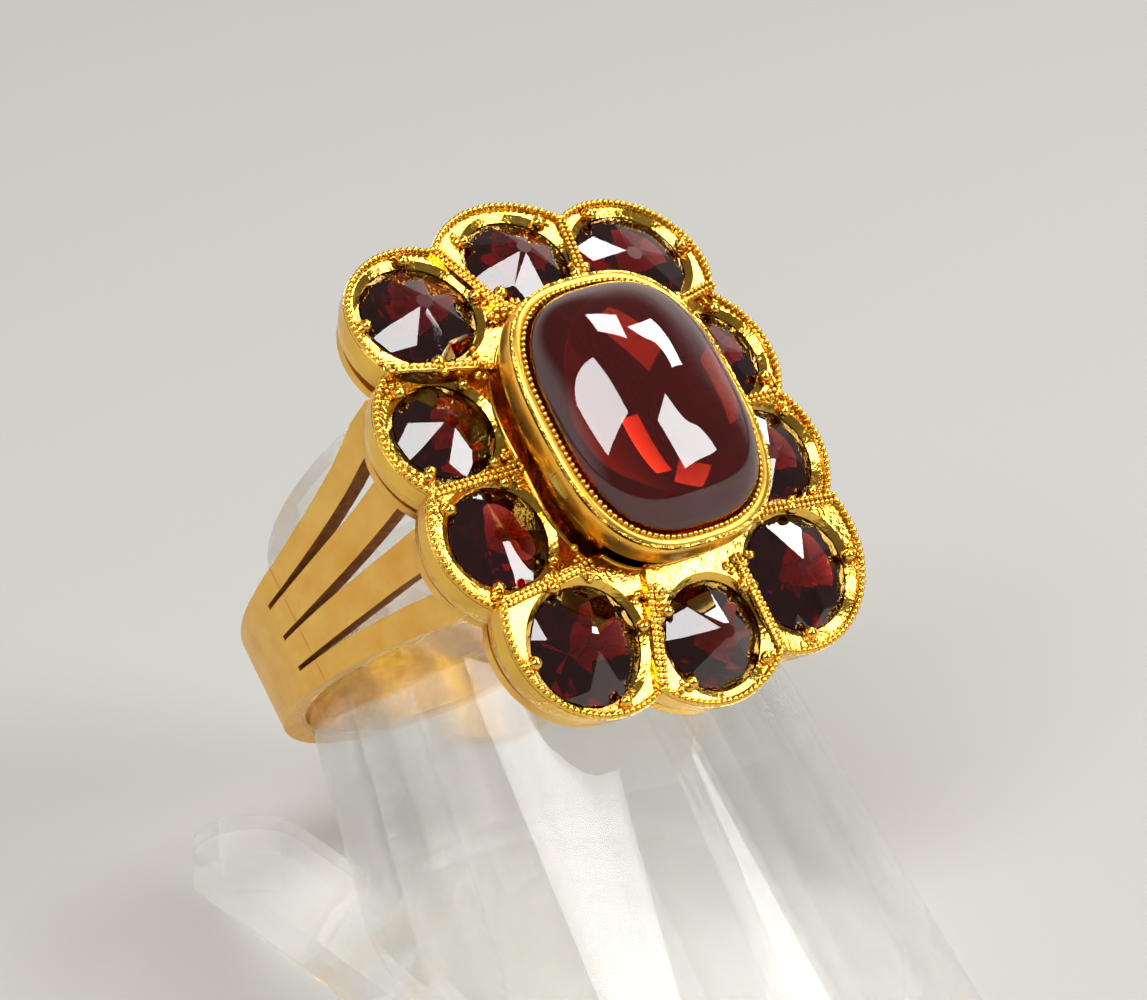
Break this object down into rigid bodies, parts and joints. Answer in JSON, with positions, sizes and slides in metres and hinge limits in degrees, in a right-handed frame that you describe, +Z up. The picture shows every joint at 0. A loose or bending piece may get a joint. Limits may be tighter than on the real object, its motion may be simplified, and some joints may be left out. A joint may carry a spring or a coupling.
{
  "type": "garnet cluster ring on clear acrylic ring stand",
  "caption": "Gold cluster ring with a raised cushion cabochon and round cut garnets in a scalloped setting, split shoulders, held on a clear tapered ring stand.",
  "frame": {"origin": "on the underside of the stand's foot, in its middle, on the table", "axes": "+Z up from the table; the tongue rises towards +Y; +X to the right seen from the front of the stand"},
  "size_m": [0.0219, 0.0359, 0.0293],
  "materials": {
    "gold": "polished yellow gold, satin on the shoulders",
    "garnet": "polished dark red garnet",
    "acrylic": "clear polished acrylic"
  },
  "bodies": {
    "root": {"gold_mount": "gold", "centre_garnet": "garnet", "garnet_01": "garnet", "garnet_02": "garnet", "garnet_03": "garnet", "garnet_04": "garnet", "garnet_05": "garnet", "garnet_06": "garnet", "garnet_07": "garnet", "garnet_08": "garnet", "garnet_09": "garnet", "garnet_10": "garnet", "ring_stand": "acrylic"}
  },
  "joints": []
}
